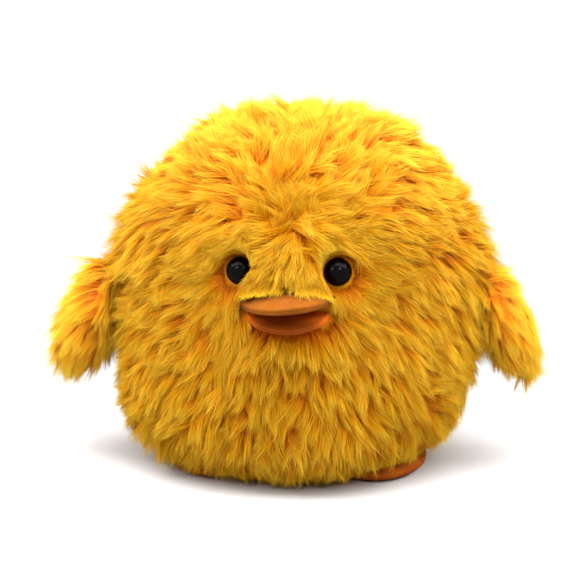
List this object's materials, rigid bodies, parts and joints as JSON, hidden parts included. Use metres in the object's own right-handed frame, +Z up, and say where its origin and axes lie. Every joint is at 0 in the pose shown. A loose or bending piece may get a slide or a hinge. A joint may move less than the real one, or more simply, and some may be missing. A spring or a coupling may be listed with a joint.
{
  "type": "plush chick",
  "caption": "Round long-pile plush chick with glossy eyes, an open felt bill, flapping side wings and felt feet, weighted to sit on its flat base.",
  "frame": {"origin": "middle of the flat seat that the chick stands on", "axes": "+Z up, the face looks along -Y, +X is the chick's own left side"},
  "size_m": [0.226, 0.1699, 0.1655],
  "materials": {
    "pile": "long fluffy pile",
    "base_cloth": "short pressed pile",
    "felt": "brushed felt",
    "fibre": "loose fibre filling",
    "pouch": "plain woven bag of pellets",
    "eye": "polished",
    "washer": "as moulded"
  },
  "bodies": {
    "body": {"face_panel": "pile", "crown_panel": "pile", "belly_panel": "pile", "back_left_panel": "pile", "back_right_panel": "pile", "base_panel": "base_cloth", "stuffing": "fibre", "pellet_pouch": "pouch", "left_eye": "eye", "left_eye_washer": "washer", "left_foot_upper": "felt", "left_foot_sole": "felt", "left_foot_fill": "fibre", "right_eye": "eye", "right_eye_washer": "washer", "right_foot_upper": "felt", "right_foot_sole": "felt", "right_foot_fill": "fibre", "upper_bill_top": "felt", "upper_bill_under": "felt", "upper_bill_fill": "fibre"},
    "lower_bill": {"lower_bill_top": "felt", "lower_bill_under": "felt", "lower_bill_fill": "fibre"},
    "left_wing": {"left_wing_outer": "pile", "left_wing_inner": "pile"},
    "right_wing": {"right_wing_outer": "pile", "right_wing_inner": "pile"}
  },
  "joints": [
    {"name": "left_wing_flap", "type": "hinge", "parent": "body", "child": "left_wing", "pos_m": [0.08319, -0.006, 0.09], "axis": [0, -1, 0], "range_deg": [-4, 95], "stiffness_Nm_per_rad": 0.02},
    {"name": "right_wing_flap", "type": "hinge", "parent": "body", "child": "right_wing", "pos_m": [-0.08319, -0.006, 0.09], "axis": [0, 1, 0], "range_deg": [-4, 95], "stiffness_Nm_per_rad": 0.02},
    {"name": "lower_bill_flex", "type": "hinge", "parent": "body", "child": "lower_bill", "pos_m": [0, -0.0709, 0.0802], "axis": [1, 0, 0], "range_deg": [-10, 8], "stiffness_Nm_per_rad": 0.02}
  ]
}
